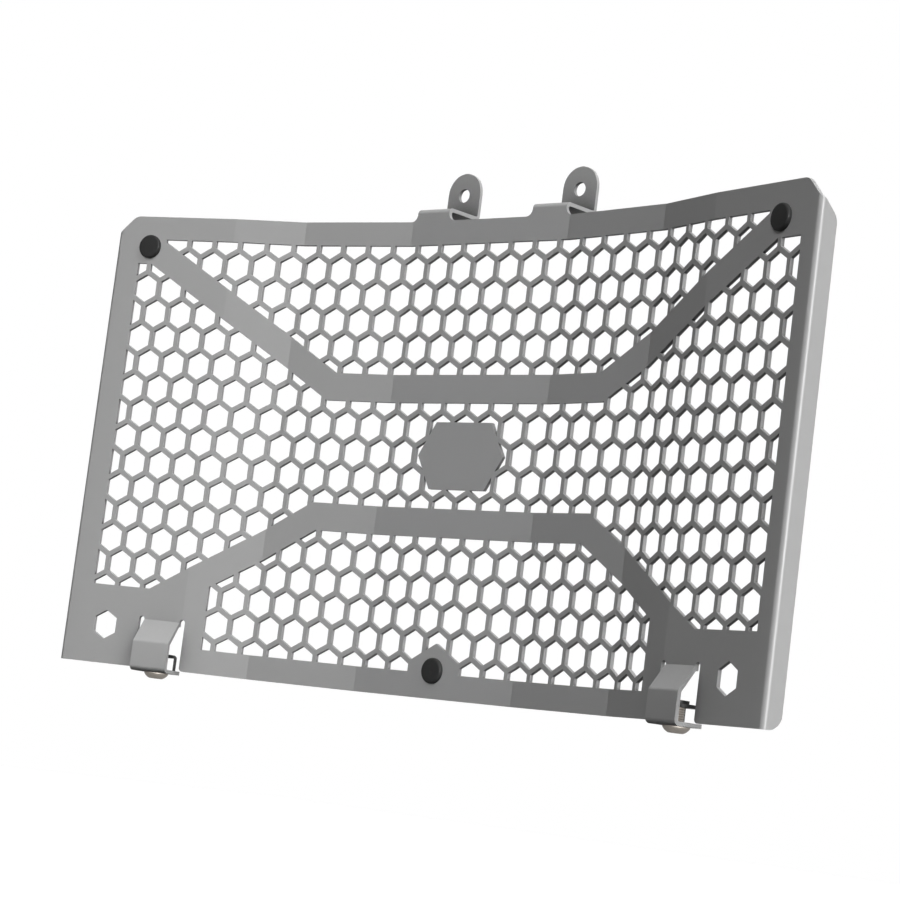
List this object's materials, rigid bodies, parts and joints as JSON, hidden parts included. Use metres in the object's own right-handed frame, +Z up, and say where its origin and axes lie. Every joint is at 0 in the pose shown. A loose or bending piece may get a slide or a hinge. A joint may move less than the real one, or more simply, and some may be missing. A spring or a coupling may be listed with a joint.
{
  "type": "motorcycle radiator guard",
  "caption": "Folded sheet guard with hexagonal cells that stands in front of a motorcycle radiator, with two upper ears, rubber buffers and two lower clamp brackets.",
  "frame": {"origin": "midway between the two ear holes, on the back face of the ears, where the guard is bolted to the radiator", "axes": "+X to the right as seen from the front, +Y to the back along the ear bolts, +Z up"},
  "size_m": [0.3547, 0.0521, 0.2121],
  "materials": {
    "panel": "satin grey powder coat",
    "rubber": "matt black rubber",
    "clamp": "black coated steel",
    "screw": "stainless steel"
  },
  "bodies": {
    "root": {"guard_panel": "panel", "rubber_buffer_top_left": "rubber", "rubber_buffer_top_right": "rubber", "rubber_buffer_bottom": "rubber", "clamp_plate_left": "clamp", "clamp_plate_right": "clamp", "clamp_screw_left": "screw", "clamp_screw_right": "screw"}
  },
  "joints": []
}
